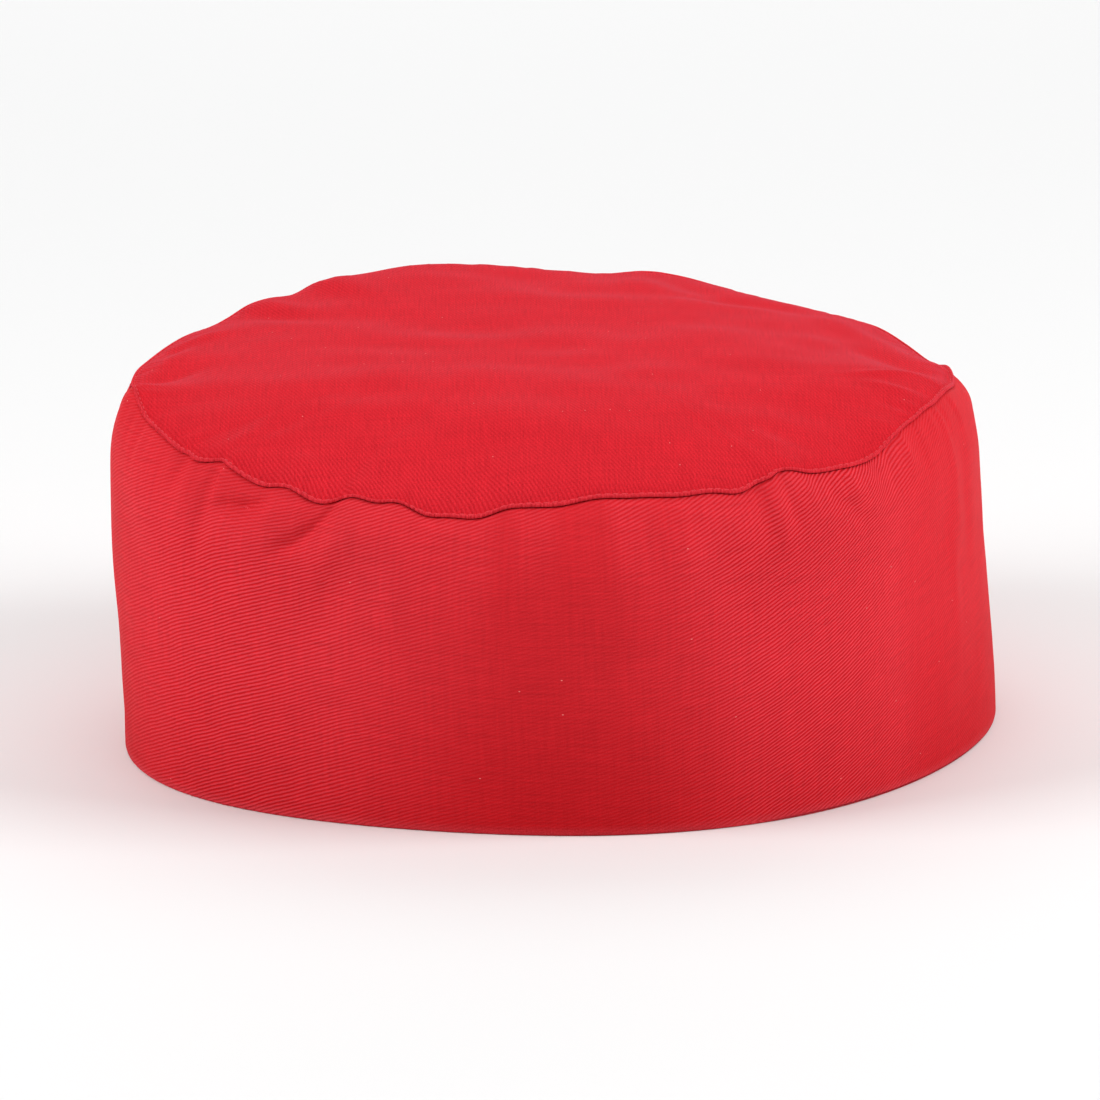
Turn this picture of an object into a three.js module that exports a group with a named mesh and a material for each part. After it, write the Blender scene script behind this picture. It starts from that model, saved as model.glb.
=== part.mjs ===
import * as THREE from 'three';

// A skull cap of twill cloth: a round crown panel sewn to a tall side band.
// Millimetres, +Z up, the front faces -Y and the folded hem rests at z = 0.
// An azimuth is in degrees round +Z, 0 at the front and growing toward +X.

// Half the hem's width and depth before its lobes
const hem = { halfWidth: 96.1, halfDepth: 96.9 };

// Middle of the cap's plan box, which becomes the origin
const middle = { x: -0.7, y: 0.7 };

// Gentle lobes of the hem: how many round it, their share of the radius, a crest's azimuth
const hemLobes = [
  { count: 3, size: 0.0111, toward: 52.6 },
  { count: 4, size: 0.0141, toward: 23.6 },
  { count: 5, size: 0.0057, toward: 16.8 },
];

// Cloth thicknesses, the turned allowance under the crown's edge, and the sewing gap
const cloth = { band: 1.3, crown: 1.0, turned: 1.7, turnedWidth: 8, gap: 0.3 };

// The lip along the crown's edge: how far it overhangs the band, its height and its slope
const lip = { overhang: 0.3, height: 1.1, slope: 0.8 };

// The seam round the crown: its height over the hem, how far it lies in from the hem's
// outline, and how far the wall swells out between the two
const seamStations = [
  { azimuth: 0, height: 71.1, inset: 5.2, swell: 0.4 },
  { azimuth: 28, height: 72.0, inset: 6.0, swell: -0.6 },
  { azimuth: 50, height: 71.2, inset: 6.6, swell: -1.6 },
  { azimuth: 75, height: 77.0, inset: 7.1, swell: -2.8 },
  { azimuth: 98, height: 70.8, inset: 7.1, swell: -2.9 },
  { azimuth: 125, height: 73.1, inset: 6.8, swell: -1.6 },
  { azimuth: 150, height: 76.9, inset: 6.2, swell: -0.6 },
  { azimuth: 175, height: 79.4, inset: 5.4, swell: 0.3 },
  { azimuth: 200, height: 83.6, inset: 4.6, swell: 0.9 },
  { azimuth: 228, height: 80.3, inset: 3.7, swell: 1.6 },
  { azimuth: 255, height: 78.9, inset: 3.3, swell: 1.3 },
  { azimuth: 287, height: 76.6, inset: 3.3, swell: 1.2 },
  { azimuth: 310, height: 72.6, inset: 3.7, swell: 1.1 },
  { azimuth: 340, height: 65.9, inset: 4.5, swell: 0.8 },
];

// Short waves of the seam's height: where, how wide, how high
const seamWaves = [
  { azimuth: -74, width: 4, rise: 6.1 },
  { azimuth: -50, width: 5, rise: 1.5 },
  { azimuth: -40, width: 1.8, rise: 1.3 },
  { azimuth: -33.5, width: 2, rise: -1.1 },
  { azimuth: -24.5, width: 6, rise: 4.1 },
  { azimuth: 24.5, width: 3.5, rise: -1.4 },
  { azimuth: 32.5, width: 4, rise: 2.2 },
  { azimuth: 49, width: 4, rise: -0.6 },
  { azimuth: 60, width: 5, rise: 1.3 },
  { azimuth: 127, width: 5, rise: 1.5 },
  { azimuth: 144, width: 4, rise: -0.7 },
  { azimuth: 163, width: 6, rise: 2.0 },
  { azimuth: 214, width: 6, rise: 0.8 },
  { azimuth: 228, width: 3.5, rise: 0.9 },
  { azimuth: 237, width: 4, rise: -0.9 },
];

// The wall's profile: the share of its height where the swell is full, and the shoulder
// over which it rolls in to the seam
const wall = { swellShare: 0.8, shoulder: 17, shoulderArc: 0.92 };

// Folds of the band: where they lie, how far below the seam, their turn from upright,
// their full length and width at half depth, and the depth, less than 0 for a ridge
const bandFolds = [
  { azimuth: -56, drop: 10, turn: -34, length: 18, width: 5.5, depth: 1.0 },
  { azimuth: -51, drop: 10, turn: -34, length: 16, width: 5, depth: -0.7 },
  { azimuth: -46.5, drop: 6, turn: -45, length: 7, width: 3.2, depth: 0.7 },
  { azimuth: -40, drop: 10, turn: -15, length: 9, width: 4.5, depth: 0.5 },
  { azimuth: -35.3, drop: 7, turn: -46, length: 14, width: 3, depth: 1.1 },
  { azimuth: -32.8, drop: 9, turn: -46, length: 16, width: 4, depth: -0.8 },
  { azimuth: -24.5, drop: 6, turn: 0, length: 9, width: 15, depth: -1.4 },
  { azimuth: -31, drop: 18, turn: 0, length: 12, width: 17, depth: 0.9 },
  { azimuth: -21, drop: 18, turn: 0, length: 22, width: 6, depth: -0.6 },
  { azimuth: -15, drop: 13, turn: 4, length: 16, width: 7, depth: 0.9 },
  { azimuth: -13.5, drop: 2.6, turn: 84, length: 12, width: 3.4, depth: -0.6 },
  { azimuth: -7, drop: 12, turn: 0, length: 14, width: 5, depth: -0.35 },
  { azimuth: -2, drop: 13, turn: 0, length: 13, width: 5, depth: 0.4 },
  { azimuth: 7.5, drop: 10, turn: 0, length: 18, width: 6, depth: -0.4 },
  { azimuth: 12.2, drop: 12, turn: 0, length: 18, width: 5, depth: 0.4 },
  { azimuth: 16, drop: 10, turn: 0, length: 16, width: 6, depth: -0.4 },
  { azimuth: 24, drop: 6, turn: 0, length: 12, width: 5, depth: 0.6 },
  { azimuth: 28.5, drop: 7, turn: 0, length: 13, width: 4, depth: -0.6 },
  { azimuth: 31, drop: 7, turn: 4, length: 12, width: 3.4, depth: 0.6 },
  { azimuth: 35, drop: 5, turn: 20, length: 12, width: 5, depth: -0.5 },
  { azimuth: 40, drop: 6, turn: 48, length: 12, width: 3.2, depth: 0.6 },
  { azimuth: 44, drop: 5, turn: 30, length: 10, width: 5, depth: -0.5 },
  { azimuth: 50, drop: 5, turn: 40, length: 8, width: 4, depth: 0.5 },
  { azimuth: 55, drop: 3.5, turn: 0, length: 7, width: 4, depth: -0.6 },
  { azimuth: 59, drop: 5, turn: 0, length: 9, width: 4, depth: 0.5 },
  { azimuth: 68, drop: 16, turn: 3, length: 24, width: 5, depth: -0.6 },
  { azimuth: 66, drop: 34, turn: -3, length: 22, width: 5, depth: -0.5 },
  { azimuth: 73, drop: 20, turn: 0, length: 26, width: 6, depth: 0.5 },
  { azimuth: 3, drop: 37, turn: -65, length: 36, width: 8, depth: 0.4 },
  { azimuth: 112, drop: 14, turn: 8, length: 24, width: 12, depth: 0.7 },
  { azimuth: 141, drop: 10, turn: -10, length: 22, width: 10, depth: 0.9 },
  { azimuth: 162, drop: 16, turn: 4, length: 26, width: 14, depth: -0.7 },
  { azimuth: 206, drop: 12, turn: -6, length: 24, width: 13, depth: -0.8 },
  { azimuth: 233, drop: 12, turn: 12, length: 22, width: 9, depth: 0.9 },
  { azimuth: 262, drop: 16, turn: 0, length: 26, width: 12, depth: 0.6 },
];

// The join that closes the band at the back: a narrow groove from hem to seam
const bandJoin = { azimuth: 180, width: 3.2, depth: 0.5 };

// The crown's dome: its height at the middle, how square its shoulders are, how soon the
// seam's waves die out, and the quick rise of its edge over the turned allowance
const dome = { height: 83.6, squareness: 3.4, waveSquareness: 12, edgeRise: 1.0, edgeReach: 3.5 };

// Puckers of the crown in plan: middle, turn from +X, full length and width at half
// depth, and the depth, less than 0 for a ridge
const crownPuckers = [
  { x: -85, y: -8, turn: 48, length: 15, width: 5, depth: 1.0 },
  { x: -85, y: 5, turn: 70, length: 20, width: 4, depth: -0.8 },
  { x: -84, y: 17, turn: 62, length: 10, width: 4, depth: 0.7 },
  { x: -78, y: 27, turn: 41, length: 12, width: 4, depth: -0.7 },
  { x: -65, y: -51, turn: 63, length: 18, width: 5, depth: -0.7 },
  { x: -63, y: -59, turn: 0, length: 10, width: 6, depth: 0.7 },
  { x: 74, y: 21, turn: -61, length: 49, width: 8, depth: -1.1 },
  { x: 75, y: 0, turn: -56, length: 35, width: 7, depth: 1.0 },
  { x: 71, y: -20, turn: 15, length: 14, width: 3.4, depth: -0.5 },
  { x: 74, y: -30, turn: -31, length: 12, width: 3.4, depth: -0.5 },
  { x: 73, y: -38, turn: -51, length: 10, width: 5, depth: 0.5 },
  { x: 47, y: -67, turn: -39, length: 12, width: 6, depth: -0.6 },
  { x: -53, y: -67, turn: -45, length: 10, width: 4, depth: -0.6 },
  { x: 42, y: 53, turn: -16, length: 24, width: 7, depth: 0.7 },
  { x: -63, y: 55, turn: -52, length: 16, width: 7, depth: -0.9 },
  { x: -47, y: 67, turn: -60, length: 18, width: 8, depth: -0.9 },
  { x: -60, y: 43, turn: -40, length: 18, width: 7, depth: 0.7 },
  { x: 20, y: 72, turn: -75, length: 18, width: 9, depth: -0.9 },
  { x: 33, y: 66, turn: -60, length: 18, width: 7, depth: 0.7 },
  { x: -18, y: 26, turn: -13, length: 46, width: 18, depth: 0.8 },
  { x: -24, y: 58, turn: -20, length: 46, width: 18, depth: -0.6 },
];

// Spacing of the azimuth stations: closer where the folds of the front are
const frontSpan = { from: -84, to: 84, step: 2 };
const backSpan = { from: 84, to: 276, step: 3.2 };

// Shares of the band's height for its outer and inner loops
const outerShares = [0, 0.12, 0.26, 0.4, 0.52, 0.62, 0.7, 0.77, 0.83, 0.885, 0.93, 0.97, 1];
const innerShares = [1, 0.96, 0.86, 0.72, 0.5, 0.25, 0];

// Loops of the crown's underside and upper face: how far in from the edge, as a distance
// or as a share of the radius that is left, and the cloth over the underside there
const underLoops = [
  { share: 0.25, cloth: cloth.crown },
  { share: 0.5, cloth: cloth.crown },
  { share: 0.74, cloth: cloth.crown },
  { inset: cloth.turnedWidth + 2, cloth: cloth.crown },
  { inset: cloth.turnedWidth, cloth: cloth.turned },
  { inset: 2.2, cloth: cloth.turned },
];
const upperLoops = [
  ...[lip.slope, 2.2, 4.5, 8, 13].map((inset) => ({ inset })),
  ...[0.78, 0.69, 0.6, 0.5, 0.38, 0.24, 0.11].map((share) => ({ share })),
];

const toRadians = Math.PI / 180;
const fullWidth = 4 * Math.LN2;

function turnBetween(a, b) {
  return THREE.MathUtils.euclideanModulo(a - b + 180, 360) - 180;
}

// A smooth closed curve through one column of the stations
function stationValue(column, azimuth) {
  const count = seamStations.length;
  const a = THREE.MathUtils.euclideanModulo(azimuth, 360);
  let i = count - 1;
  while (seamStations[i].azimuth > a) {
    i -= 1;
  }
  const at = (k) => {
    const lap = Math.floor(k / count);
    const row = seamStations[k - lap * count];
    return { azimuth: row.azimuth + 360 * lap, value: row[column] };
  };
  const [before, start, end, after] = [at(i - 1), at(i), at(i + 1), at(i + 2)];
  const span = end.azimuth - start.azimuth;
  const t = (a - start.azimuth) / span;
  const startSlope = (end.value - before.value) / (end.azimuth - before.azimuth);
  const endSlope = (after.value - start.value) / (after.azimuth - start.azimuth);
  return (2 * t ** 3 - 3 * t ** 2 + 1) * start.value + (t ** 3 - 2 * t ** 2 + t) * span * startSlope
    + (3 * t ** 2 - 2 * t ** 3) * end.value + (t ** 3 - t ** 2) * span * endSlope;
}

function waveRise(azimuth) {
  let rise = 0;
  for (const wave of seamWaves) {
    rise += wave.rise * Math.exp(-0.5 * (turnBetween(azimuth, wave.azimuth) / wave.width) ** 2);
  }
  return rise;
}

function seamHeight(azimuth) {
  return stationValue('height', azimuth) + waveRise(azimuth);
}

function hemRadius(azimuth) {
  let share = 1;
  for (const lobe of hemLobes) {
    share += lobe.size * Math.cos(lobe.count * (azimuth - lobe.toward) * toRadians);
  }
  return share;
}

// How much a fold takes at a point that lies across and along from the fold's middle
function foldDepth(fold, sideways, down) {
  const turn = fold.turn * toRadians;
  const along = down * Math.cos(turn) + sideways * Math.sin(turn);
  const across = sideways * Math.cos(turn) - down * Math.sin(turn);
  return fold.depth * Math.exp(-fullWidth * ((across / fold.width) ** 2 + (along / fold.length) ** 2));
}

// How far the band's outside lies out from the hem's outline at a height
function wallOffset(azimuth, z) {
  const top = seamHeight(azimuth);
  const swell = stationValue('swell', azimuth);
  const rise = Math.min(z / top / wall.swellShare, 1);
  const roll = Math.max(0, 1 - (top - z) / wall.shoulder) * wall.shoulderArc;
  const rollShare = (1 - Math.sqrt(1 - roll ** 2)) / (1 - Math.sqrt(1 - wall.shoulderArc ** 2));
  let offset = swell * Math.sin(rise * Math.PI / 2) ** 2;
  offset -= (stationValue('inset', azimuth) + swell) * rollShare;
  for (const fold of bandFolds) {
    const sideways = turnBetween(azimuth, fold.azimuth) * toRadians * hem.halfWidth;
    offset -= foldDepth(fold, sideways, top - z - fold.drop);
  }
  const fromJoin = turnBetween(azimuth, bandJoin.azimuth) * toRadians * hem.halfDepth;
  return offset - bandJoin.depth * Math.exp(-fullWidth * (fromJoin / bandJoin.width) ** 2);
}

// A point that lies out from the hem's outline along the ray of an azimuth
function outlinePoint(azimuth, offset, z) {
  const share = hemRadius(azimuth);
  const ray = new THREE.Vector2(
    hem.halfWidth * share * Math.sin(azimuth * toRadians),
    -hem.halfDepth * share * Math.cos(azimuth * toRadians),
  );
  ray.setLength(ray.length() + offset);
  return new THREE.Vector3(ray.x, ray.y, z);
}

function bandOutside(azimuth, share) {
  const z = share * seamHeight(azimuth);
  return outlinePoint(azimuth, wallOffset(azimuth, z), z);
}

// The inside follows the outside at the cloth's thickness, square to the wall's slope
function bandInside(azimuth, share) {
  const reach = 0.5;
  const z = share * seamHeight(azimuth);
  const slope = (wallOffset(azimuth, z) - wallOffset(azimuth, z - reach)) / reach;
  const square = Math.hypot(1, slope);
  const inner = wallOffset(azimuth, z) - cloth.band / square;
  return outlinePoint(azimuth, inner, Math.max(0, z + cloth.band * slope / square));
}

// The lip's lower edge, which overhangs the band's top edge by a little
function lipPoint(azimuth) {
  const top = seamHeight(azimuth);
  return outlinePoint(azimuth, wallOffset(azimuth, top) + lip.overhang, top + cloth.gap);
}

// The crown's upper face at a share of the way out from its middle to the lip
function crownPoint(azimuth, share, thickness) {
  const start = lipPoint(azimuth);
  const waves = waveRise(azimuth);
  const edge = start.z + lip.height - waves;
  const inset = (1 - share) * Math.hypot(start.x, start.y);
  const settled = 1 - Math.exp(-Math.max(0, inset - lip.slope) / dome.edgeReach);
  const point = new THREE.Vector3(start.x * share, start.y * share, edge);
  point.z += (dome.height - edge) * (1 - share ** dome.squareness);
  point.z += waves * share ** dome.waveSquareness;
  point.z += dome.edgeRise * settled * share;
  for (const pucker of crownPuckers) {
    const lengthways = { ...pucker, turn: 90 - pucker.turn };
    point.z -= settled * foldDepth(lengthways, point.x - pucker.x, point.y - pucker.y);
  }
  point.z -= thickness;
  return point;
}

function crownLoop(stations, row) {
  return stations.map((azimuth) => {
    const start = lipPoint(azimuth);
    const share = row.share ?? 1 - row.inset / Math.hypot(start.x, start.y);
    return crownPoint(azimuth, share, row.cloth ?? 0);
  });
}

function azimuthStations() {
  const stations = [];
  for (const span of [frontSpan, backSpan]) {
    for (let a = span.from; a < span.to - span.step / 2; a += span.step) {
      stations.push(a);
    }
  }
  return stations;
}

// Joins loops of points into one closed body: to a tip at each end, or back on itself
function loftLoops(loops, startTip, endTip) {
  const around = loops[0].length;
  const points = loops.flat();
  const faces = [];
  const bridge = (a, b) => {
    for (let i = 0; i < around; i += 1) {
      const j = (i + 1) % around;
      faces.push(a * around + i, a * around + j, b * around + j);
      faces.push(a * around + i, b * around + j, b * around + i);
    }
  };
  const fan = (loop, tip, flip) => {
    points.push(tip);
    for (let i = 0; i < around; i += 1) {
      const edge = [loop * around + i, loop * around + (i + 1) % around];
      if (flip) {
        edge.reverse();
      }
      faces.push(edge[0], edge[1], points.length - 1);
    }
  };
  for (let k = 0; k + 1 < loops.length; k += 1) {
    bridge(k, k + 1);
  }
  if (startTip) {
    fan(0, startTip, true);
    fan(loops.length - 1, endTip, false);
  } else {
    bridge(loops.length - 1, 0);
  }
  const geometry = new THREE.BufferGeometry().setFromPoints(points);
  geometry.setIndex(faces);
  geometry.computeVertexNormals();
  return geometry;
}

function sideBand(stations) {
  const outer = outerShares.map((share) => stations.map((azimuth) => bandOutside(azimuth, share)));
  const inner = innerShares.map((share) => stations.map((azimuth) => bandInside(azimuth, share)));
  return loftLoops([...outer, ...inner]);
}

// From the middle of the underside out to the lip, then over the top to the middle
function crown(stations) {
  const under = underLoops.map((row) => crownLoop(stations, row));
  const upper = upperLoops.map((row) => crownLoop(stations, row));
  const loops = [...under, stations.map(lipPoint), ...upper];
  return loftLoops(loops, crownPoint(0, 0, cloth.crown), crownPoint(0, 0, 0));
}

function clothMesh(name, geometry, color) {
  geometry.translate(-middle.x, -middle.y, 0);
  const mesh = new THREE.Mesh(geometry, new THREE.MeshStandardMaterial({ color, roughness: 0.85, metalness: 0 }));
  mesh.name = name;
  return mesh;
}

const cap = new THREE.Group();
const stations = azimuthStations();
cap.add(clothMesh('side_band', sideBand(stations), 0xcc252c));
cap.add(clothMesh('crown', crown(stations), 0xe03844));

export default cap;
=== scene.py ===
import math
import bpy
import numpy as np
from mathutils import Matrix, Vector


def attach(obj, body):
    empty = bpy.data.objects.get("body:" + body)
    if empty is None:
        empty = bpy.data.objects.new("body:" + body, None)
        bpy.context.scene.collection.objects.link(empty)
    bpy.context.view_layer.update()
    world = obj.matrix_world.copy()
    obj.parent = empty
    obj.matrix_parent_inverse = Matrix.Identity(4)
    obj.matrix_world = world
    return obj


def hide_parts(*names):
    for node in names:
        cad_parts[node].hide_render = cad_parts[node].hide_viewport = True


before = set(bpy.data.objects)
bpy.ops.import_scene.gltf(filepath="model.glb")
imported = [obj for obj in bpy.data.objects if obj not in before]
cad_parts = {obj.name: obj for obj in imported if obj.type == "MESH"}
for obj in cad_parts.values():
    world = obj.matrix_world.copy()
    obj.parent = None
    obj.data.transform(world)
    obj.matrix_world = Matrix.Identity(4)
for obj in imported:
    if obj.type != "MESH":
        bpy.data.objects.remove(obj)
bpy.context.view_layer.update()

# Azimuths are degrees round +Z, 0 at the front and growing toward +X.
# The shape tables and functions are in millimetres, the meshes in metres.
mm = 0.001


def rows(columns, values):
    return [dict(zip(columns.split(), row)) for row in values]


# Shape of the cap

hem = {"halfWidth": 96.1, "halfDepth": 96.9}
middle = {"x": -0.7, "y": 0.7}                 # of the plan box, it becomes the origin
cloth = {"band": 1.3, "crown": 1.0, "turned": 1.7, "turnedWidth": 8, "gap": 0.5}
lip = {"overhang": 0.4, "height": 0.55, "slope": 0.5}     # the edge rounds over within the slope
wall = {"swellShare": 0.8, "shoulder": 17, "shoulderArc": 0.92}
bandJoin = {"azimuth": 180, "width": 3.2, "depth": 0.5}
dome = {"height": 83.6, "squareness": 3.4, "waveSquareness": 12, "edgeRise": 1.0, "edgeReach": 3.5}

hemLobes = rows("count size toward", [
    (3, 0.0111, 52.6),
    (4, 0.0141, 23.6),
    (5, 0.0057, 16.8),
])

seamStations = rows("azimuth height inset swell", [
    (0, 71.1, 5.2, 0.4),
    (28, 72.0, 6.0, -0.6),
    (50, 71.2, 6.6, -1.6),
    (75, 77.0, 8.1, -2.8),
    (98, 70.8, 8.8, -2.9),
    (125, 73.1, 7.1, -1.6),
    (150, 76.9, 6.2, -0.6),
    (175, 79.4, 5.4, 0.3),
    (200, 83.6, 4.6, 0.9),
    (228, 80.3, 3.7, 1.6),
    (255, 78.9, 3.7, 1.3),
    (287, 76.6, 3.9, 1.2),
    (310, 72.6, 3.7, 1.1),
    (340, 65.9, 4.5, 0.8),
])

seamWaves = rows("azimuth width rise", [
    (-76, 4, 5.6),
    (-65, 5, 1.9),
    (-48.8, 2.6, 2.2),
    (-38.2, 2.1, 1.9),
    (-28.2, 2.5, 3.7),
    (-22, 2.6, 4.1),
    (-15.5, 2, 1.0),
    (-10.6, 1.4, -0.3),
    (-6.6, 1.6, 0.5),
    (-0.2, 2.2, -0.7),
    (5.8, 2, 0.4),
    (16.6, 2.6, -0.5),
    (24.2, 1.9, -1.1),
    (31.8, 2.4, 2.1),
    (41, 5, 0.7),
    (55, 3.4, 2.8),
    (63, 4, 1.9),
    (97, 5.6, 3.8),
    (112, 5, 0.9),
    (125, 6, 1.9),
    (144, 4, -0.7),
    (149, 2, -0.6),
    (163, 6, 2.0),
    (167, 3, 0.6),
    (207.5, 3.5, -0.8),
    (214, 6, 0.8),
    (219.5, 2, -1.1),
    (228, 3.5, 0.9),
    (237, 4, -0.9),
    (268, 6, 1.2),
])

# Depths less than 0 are ridges, turns are from upright
bandFolds = rows("azimuth drop turn length width depth", [
    (-56.6, 2.6, -15, 7, 2.4, 0.9),
    (-54, 6, -10, 12, 4, -0.5),
    (-50.5, 8, -8, 17, 3.5, 1.6),
    (-47.4, 2.4, -30, 6, 4, -0.5),
    (-44.6, 5.6, -66, 14, 2.6, 2.0),
    (-48.4, 10, -25, 10, 3.2, 0.8),
    (-40.3, 6.5, -45, 14, 7, -1.2),
    (-33.4, 4.4, -44, 11, 2.1, 1.6),
    (-36.6, 10.2, -50, 7, 2.6, 1.6),
    (-30, 9, -42, 18, 7, -1.1),
    (-24.5, 6, 0, 9, 15, -1.4),
    (-31, 18, 0, 12, 17, 0.9),
    (-21, 18, 0, 22, 6, -0.6),
    (-15, 13, 4, 16, 7, 0.9),
    (-13.5, 2.6, 84, 12, 3.4, -0.6),
    (-7, 12, 0, 14, 5, -0.35),
    (-2, 13, 0, 13, 5, 0.4),
    (7.5, 10, 0, 18, 6, -0.4),
    (12.2, 12, 0, 18, 5, 0.4),
    (16, 10, 0, 16, 6, -0.4),
    (23.5, 6, 0, 12, 5, -0.5),
    (27.2, 4, 0, 11, 3, 0.9),
    (29.2, 6, 2, 11, 3, -0.6),
    (31.2, 5, 8, 12, 3, 0.9),
    (35, 5, 20, 12, 5, -0.5),
    (40, 6, 48, 12, 3.2, 0.6),
    (44, 5, 30, 10, 5, -0.5),
    (50, 5, 40, 8, 4, 0.5),
    (55, 3.5, 0, 7, 4, -0.6),
    (59, 5, 0, 9, 4, 0.5),
    (94, 4.6, 86, 26, 6, -0.6),
    (68, 16, 3, 24, 5, -0.6),
    (66, 34, -3, 22, 5, -0.5),
    (73, 20, 0, 26, 6, 0.5),
    (3, 37, -65, 36, 8, 0.4),
    (112, 14, 8, 24, 12, 0.7),
    (141, 10, -10, 22, 10, 0.9),
    (162, 16, 4, 26, 14, -0.7),
    (206, 12, -6, 24, 13, -0.8),
    (233, 12, 12, 22, 9, 0.9),
    (262, 16, 0, 26, 12, 0.6),
])

# Puckers of the crown in plan, turns are from +X
crownPuckers = rows("x y turn length width depth", [
    (-85, -8, 48, 15, 5, 1.0),
    (-85, 5, 70, 20, 4, -0.8),
    (-84, 17, 62, 10, 4, 0.7),
    (-78, 27, 41, 12, 4, -0.7),
    (-65, -51, 63, 18, 5, -0.7),
    (-63, -59, 0, 10, 6, 0.7),
    (74, 21, -61, 49, 8, -1.1),
    (75, 0, -56, 35, 7, 1.0),
    (71, -20, 15, 14, 3.4, -0.5),
    (74, -30, -31, 12, 3.4, -0.5),
    (73, -38, -51, 10, 5, 0.5),
    (47, -67, -39, 12, 6, -0.6),
    (-53, -67, -45, 10, 4, -0.6),
    (42, 53, -16, 24, 7, 0.7),
    (-63, 55, -52, 16, 7, -0.9),
    (-47, 67, -60, 18, 8, -0.9),
    (-60, 43, -40, 18, 7, 0.7),
    (20, 72, -75, 18, 9, -0.9),
    (33, 66, -60, 18, 7, 0.7),
    (-18, 26, -13, 46, 18, 0.8),
    (-24, 58, -20, 46, 18, -0.6),
])


def turnBetween(a, b):
    return (a - b + 180) % 360 - 180


def stationValue(column, azimuth):             # a smooth closed curve through one column
    at = np.array([row["azimuth"] for row in seamStations], float)
    value = np.array([row[column] for row in seamStations], float)
    at = np.concatenate([at[-2:] - 360, at, at[:2] + 360])
    value = np.concatenate([value[-2:], value, value[:2]])
    slope = np.gradient(value) / np.gradient(at)
    slope[1:-1] = (value[2:] - value[:-2]) / (at[2:] - at[:-2])
    a = np.asarray(azimuth, float) % 360
    i = np.searchsorted(at, a, side="right") - 1
    span = at[i + 1] - at[i]
    t = (a - at[i]) / span
    return ((2 * t**3 - 3 * t**2 + 1) * value[i] + (t**3 - 2 * t**2 + t) * span * slope[i]
            + (3 * t**2 - 2 * t**3) * value[i + 1] + (t**3 - t**2) * span * slope[i + 1])


def waveRise(azimuth):
    return sum(wave["rise"] * np.exp(-0.5 * (turnBetween(azimuth, wave["azimuth"]) / wave["width"])**2)
               for wave in seamWaves)


def seamHeight(azimuth):
    return stationValue("height", azimuth) + waveRise(azimuth)


def foldDepth(fold, sideways, down, turn):
    turn = math.radians(turn)
    along = down * math.cos(turn) + sideways * math.sin(turn)
    across = sideways * math.cos(turn) - down * math.sin(turn)
    spread = (across / fold["width"])**2 + (along / fold["length"])**2
    return fold["depth"] * np.exp(-4 * math.log(2) * spread)


# Fine unevenness that only the eye needs, as sums of slow waves

fine = {
    "seed": 7,
    "slack": 0.16,            # mm, soft unevenness of the cloth
    "slackWaves": 26,
    "slackSlant": (0.6, 0.8),  # how the waves of the band go on up the wall
    "pucker": 0.13,           # mm, little gathers that the stitches draw in
    "puckerReach": 6.0,       # mm, how far they run from the seam
    "channel": 0.3,           # mm, how deep the stitch line lies
    "channelWidth": 0.4,
    "weltReach": 1.7,         # mm, over which the crown starts to rise behind its edge
    "stitchInset": 0.9,       # mm, from the lip's edge
    "belly": 3.0,             # mm, how far the front of the band swells at half its height
    "bellyReach": 46,         # degrees
    "calmHem": 12,            # mm above the hem that stay calmer
    "calmSeam": 8,            # mm below the seam that stay calmer
    "gatherStart": 1.5,       # mm below the seam, where the gathers are full
    "crownSlack": 1.3,        # of the band's
    "crownPucker": 0.5,       # of the band's
}


def slowWaves(seed, shortest, longest, count):  # a sum of waves with an even spread of lengths
    rng = np.random.default_rng(seed)
    length = np.exp(rng.uniform(math.log(shortest), math.log(longest), count))
    turn = rng.uniform(0, math.pi, count)
    phase = rng.uniform(0, 2 * math.pi, count)
    size = length / np.sqrt((length**2).sum() / 2)
    return list(zip(2 * math.pi / length, turn, phase, size))


def unevenness(waves, x, y):
    return sum(size * np.cos(k * (x * math.cos(turn) + y * math.sin(turn)) + phase)
               for k, turn, phase, size in waves)


def gathers(azimuth, seed):                    # short waves round the seam
    rng = np.random.default_rng(seed)
    total = 0
    for count in (61, 83, 97, 118, 139):
        total = total + np.cos(count * np.radians(azimuth) + rng.uniform(0, 2 * math.pi))
    return total / math.sqrt(5 / 2)


bandSlack = slowWaves(fine["seed"], 14, 60, fine["slackWaves"])
crownSlack = slowWaves(fine["seed"] + 1, 14, 55, fine["slackWaves"])


def ringWrap(azimuth):                         # places on a cylinder, so that waves close on themselves
    turn = np.radians(azimuth)
    return hem["halfWidth"] * np.sin(turn), hem["halfWidth"] * np.cos(turn)


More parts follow.
